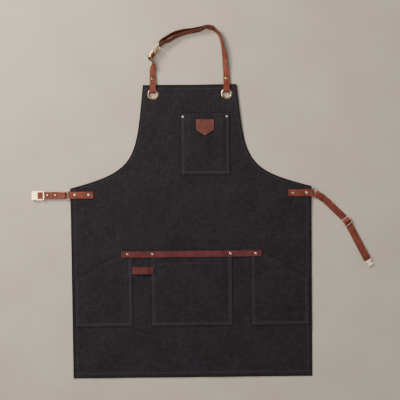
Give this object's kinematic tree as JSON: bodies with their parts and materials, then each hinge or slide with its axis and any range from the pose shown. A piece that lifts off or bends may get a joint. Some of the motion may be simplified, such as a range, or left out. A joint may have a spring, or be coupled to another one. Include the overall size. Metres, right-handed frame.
{
  "type": "apron",
  "caption": "Work apron with a canvas body, patch pockets, leather towel strap and side tabs, and adjustable leather neck and waist straps with metal side-release buckles.",
  "frame": {"origin": "middle of the waist line, on the back face of the canvas body", "axes": "+Z out of the front of the apron as it lies flat, +Y towards the neck, +X to the right as seen from the front"},
  "size_m": [0.9893, 1.0208, 0.0259],
  "materials": {
    "canvas": "woven, matt",
    "dark_leather": "smooth, waxed",
    "tan_leather": "smooth, waxed",
    "antique_brass": "antiqued",
    "nickel": "polished",
    "pale_gold": "matt plated",
    "spring_steel": "satin"
  },
  "bodies": {
    "apron": {"canvas_panel": "canvas", "chest_pocket": "canvas", "left_hip_pocket": "canvas", "right_hip_pocket": "canvas", "centre_pocket": "canvas", "badge": "dark_leather", "towel_strap": "dark_leather", "tool_loop": "dark_leather", "chest_rivet_a": "nickel", "chest_rivet_b": "nickel", "towel_rivet_a": "antique_brass", "towel_rivet_b": "antique_brass", "towel_rivet_c": "antique_brass", "towel_rivet_d": "antique_brass", "left_waist_tab": "tan_leather", "right_waist_tab": "tan_leather", "left_tab_rivet_a": "antique_brass", "left_tab_rivet_b": "antique_brass", "right_tab_rivet_a": "antique_brass", "right_tab_rivet_b": "antique_brass", "left_grommet": "antique_brass", "right_grommet": "antique_brass", "left_grommet_washer": "antique_brass", "right_grommet_washer": "antique_brass", "left_neck_loop": "tan_leather", "right_neck_loop": "tan_leather", "left_neck_rivet": "antique_brass", "right_neck_rivet": "antique_brass"},
    "left_ring": {"left_ring": "pale_gold"},
    "left_strap": {"left_strap": "tan_leather", "left_strap_rivet_a": "antique_brass", "left_strap_rivet_b": "antique_brass"},
    "waist_buckle": {"waist_buckle_base": "pale_gold", "waist_buckle_cover": "pale_gold", "waist_lever_pin_a": "spring_steel", "waist_lever_pin_b": "spring_steel", "waist_lever_spring": "spring_steel"},
    "waist_lever_a": {"waist_lever_a": "pale_gold"},
    "waist_lever_b": {"waist_lever_b": "pale_gold"},
    "right_ring": {"right_ring": "pale_gold"},
    "right_strap": {"right_strap": "tan_leather", "waist_slider": "pale_gold"},
    "waist_plate": {"waist_plate": "pale_gold"},
    "neck_strap": {"neck_short_strap": "tan_leather", "neck_long_strap": "tan_leather", "neck_slider": "pale_gold", "neck_plate": "pale_gold", "neck_buckle_base": "pale_gold", "neck_buckle_cover": "pale_gold", "neck_lever_pin_a": "spring_steel", "neck_lever_pin_b": "spring_steel", "neck_lever_spring": "spring_steel"},
    "neck_lever_a": {"neck_lever_a": "pale_gold"},
    "neck_lever_b": {"neck_lever_b": "pale_gold"}
  },
  "joints": [
    {"name": "neck_strap_lift", "type": "hinge", "parent": "apron", "child": "neck_strap", "pos_m": [0, 0.325, 0.00065], "axis": [1, 0, 0], "range_deg": [0, 90]},
    {"name": "left_ring_swing", "type": "hinge", "parent": "apron", "child": "left_ring", "pos_m": [-0.3525, -0.0195, 0.00065], "axis": [0, 1, 0], "range_deg": [-90, 90]},
    {"name": "left_strap_swing", "type": "hinge", "parent": "left_ring", "child": "left_strap", "pos_m": [-0.3551, -0.0195, 0.00065], "axis": [0, 0, 1], "range_deg": [-25, 25]},
    {"name": "waist_buckle_pivot", "type": "hinge", "parent": "left_strap", "child": "waist_buckle", "pos_m": [-0.4401, -0.0195, 0.00065], "axis": [0, 1, 0], "range_deg": [-60, 0]},
    {"name": "right_ring_swing", "type": "hinge", "parent": "apron", "child": "right_ring", "pos_m": [0.3525, -0.0195, 0.00065], "axis": [0, 1, 0], "range_deg": [-90, 90]},
    {"name": "right_strap_swing", "type": "hinge", "parent": "right_ring", "child": "right_strap", "pos_m": [0.3551, -0.0195, 0.00065], "axis": [0, 0, 1], "range_deg": [0, 50]},
    {"name": "waist_plate_pivot", "type": "hinge", "parent": "right_strap", "child": "waist_plate", "pos_m": [0.50918, -0.21258, -0.00029], "axis": [0.891, 0.454, 0], "range_deg": [-75, 75]},
    {"name": "waist_lever_a_press", "type": "hinge", "parent": "waist_buckle", "child": "waist_lever_a", "pos_m": [-0.4493, -0.0081, 0.00065], "axis": [0, 0, -1], "range_deg": [0, 18], "stiffness_Nm_per_rad": 0.02, "deforming": ["waist_lever_spring"]},
    {"name": "waist_lever_b_press", "type": "hinge", "parent": "waist_buckle", "child": "waist_lever_b", "pos_m": [-0.4493, -0.0309, 0.00065], "axis": [0, 0, 1], "range_deg": [0, 18], "stiffness_Nm_per_rad": 0.02},
    {"name": "neck_lever_a_press", "type": "hinge", "parent": "neck_strap", "child": "neck_lever_a", "pos_m": [-0.09668, 0.3936, -0.0008], "axis": [-0.7626, 0.5852, -0.2756], "range_deg": [0, 18], "stiffness_Nm_per_rad": 0.02, "deforming": ["neck_lever_spring"]},
    {"name": "neck_lever_b_press", "type": "hinge", "parent": "neck_strap", "child": "neck_lever_b", "pos_m": [-0.10112, 0.397, 0.01871], "axis": [0.7626, -0.5852, 0.2756], "range_deg": [0, 18], "stiffness_Nm_per_rad": 0.02}
  ],
  "couplings": [
    {"joint": "waist_lever_b_press", "follows": "waist_lever_a_press", "ratio": 1},
    {"joint": "neck_lever_b_press", "follows": "neck_lever_a_press", "ratio": 1}
  ]
}
